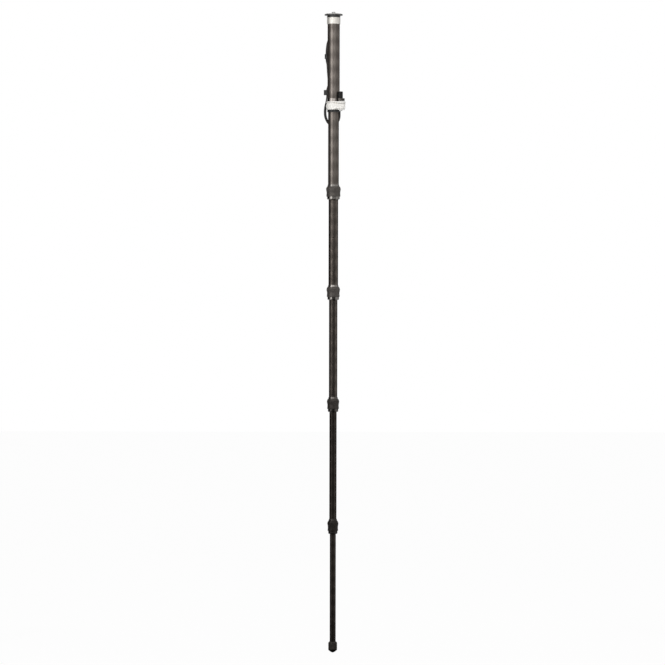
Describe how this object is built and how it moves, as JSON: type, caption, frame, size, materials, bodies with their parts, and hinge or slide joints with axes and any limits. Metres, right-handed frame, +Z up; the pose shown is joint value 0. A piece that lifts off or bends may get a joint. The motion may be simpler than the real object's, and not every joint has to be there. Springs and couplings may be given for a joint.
{
  "type": "camera monopod",
  "caption": "Telescoping carbon camera monopod with a round camera plate and screw, a lever clamp, fluted twist locks, a pointed rubber foot and a black wrist strap.",
  "frame": {"origin": "centre of the camera plate's top face, at the foot of the camera screw", "axes": "+Z up along the tubes and the camera screw, -Y towards the clamp lever's paddle, +X towards the lever's pivot, strap at +Y"},
  "size_m": [0.0563, 0.0524, 1.6652],
  "materials": {
    "black_metal": "satin black",
    "dark_metal": "black anodised",
    "bright_metal": "satin silver",
    "steel": "bright turned",
    "carbon": "clear-coated carbon fibre with a crossed weave",
    "black_plastic": "fine moulded grain",
    "rubber": "matte",
    "strap": "braided cord"
  },
  "bodies": {
    "upper_section": {"camera_plate": "black_metal", "plate_pad": "rubber", "camera_stud": "steel", "top_ring": "bright_metal", "top_plug": "dark_metal", "upper_tube": "carbon", "strap_eye_upper": "black_plastic", "wrist_strap": "strap", "strap_slider": "black_plastic", "strap_clip": "black_plastic", "strap_eye_lower": "black_plastic", "clamp_ferrule": "dark_metal", "clamp_band": "bright_metal", "clamp_liner": "black_plastic", "clamp_lip": "black_plastic", "pivot_bolt": "steel"},
    "clamp_lever": {"clamp_lever": "bright_metal"},
    "thumb_nut": {"thumb_nut": "black_plastic"},
    "twist_collar_1": {"lock_collar_1": "dark_metal", "lock_grip_1": "rubber", "lock_seal_1": "rubber"},
    "section_2": {"tube_2": "carbon", "guide_shims_2": "black_plastic", "lock_ferrule_1": "dark_metal", "lock_collet_1": "black_plastic"},
    "twist_collar_2": {"lock_collar_2": "dark_metal", "lock_grip_2": "rubber", "lock_seal_2": "rubber"},
    "section_3": {"tube_3": "carbon", "guide_shims_3": "black_plastic", "lock_ferrule_2": "dark_metal", "lock_collet_2": "black_plastic"},
    "twist_collar_3": {"lock_collar_3": "dark_metal", "lock_grip_3": "rubber", "lock_seal_3": "rubber"},
    "section_4": {"tube_4": "carbon", "guide_shims_4": "black_plastic", "lock_ferrule_3": "dark_metal", "lock_collet_3": "black_plastic"},
    "twist_collar_4": {"lock_collar_4": "dark_metal", "lock_grip_4": "rubber", "lock_seal_4": "rubber"},
    "section_5": {"tube_5": "carbon", "guide_shims_5": "black_plastic", "lock_ferrule_4": "dark_metal", "lock_collet_4": "black_plastic"},
    "section_6": {"tube_6": "carbon", "guide_shims_6": "black_plastic", "foot_plug": "dark_metal", "foot_rubber": "rubber"}
  },
  "joints": [
    {"name": "section_2_slide", "type": "slide", "parent": "upper_section", "child": "section_2", "axis": [0, 0, 1], "range_m": [0, 0.187]},
    {"name": "section_3_slide", "type": "slide", "parent": "section_2", "child": "section_3", "axis": [0, 0, 1], "range_m": [0, 0.221]},
    {"name": "section_4_slide", "type": "slide", "parent": "section_3", "child": "section_4", "axis": [0, 0, 1], "range_m": [0, 0.251]},
    {"name": "section_5_slide", "type": "slide", "parent": "section_4", "child": "section_5", "axis": [0, 0, 1], "range_m": [0, 0.277]},
    {"name": "section_6_slide", "type": "slide", "parent": "section_5", "child": "section_6", "axis": [0, 0, 1], "range_m": [0, 0.279]},
    {"name": "twist_lock_1", "type": "hinge", "parent": "section_2", "child": "twist_collar_1", "pos_m": [0, 0, -0.4632], "axis": [0, 0, -1], "range_deg": [0, 120]},
    {"name": "twist_lock_2", "type": "hinge", "parent": "section_3", "child": "twist_collar_2", "pos_m": [0, 0, -0.7242], "axis": [0, 0, -1], "range_deg": [0, 120]},
    {"name": "twist_lock_3", "type": "hinge", "parent": "section_4", "child": "twist_collar_3", "pos_m": [0, 0, -1.0152], "axis": [0, 0, -1], "range_deg": [0, 120]},
    {"name": "twist_lock_4", "type": "hinge", "parent": "section_5", "child": "twist_collar_4", "pos_m": [0, 0, -1.3322], "axis": [0, 0, -1], "range_deg": [0, 120]},
    {"name": "lever_hinge", "type": "hinge", "parent": "upper_section", "child": "clamp_lever", "pos_m": [0.01808, -0.01314, -0.24], "axis": [0, 0, 1], "range_deg": [0, 90]},
    {"name": "thumb_nut_turn", "type": "hinge", "parent": "upper_section", "child": "thumb_nut", "pos_m": [0.01808, -0.01314, -0.211], "axis": [0, 0, 1], "range_deg": [-180, 180]}
  ]
}
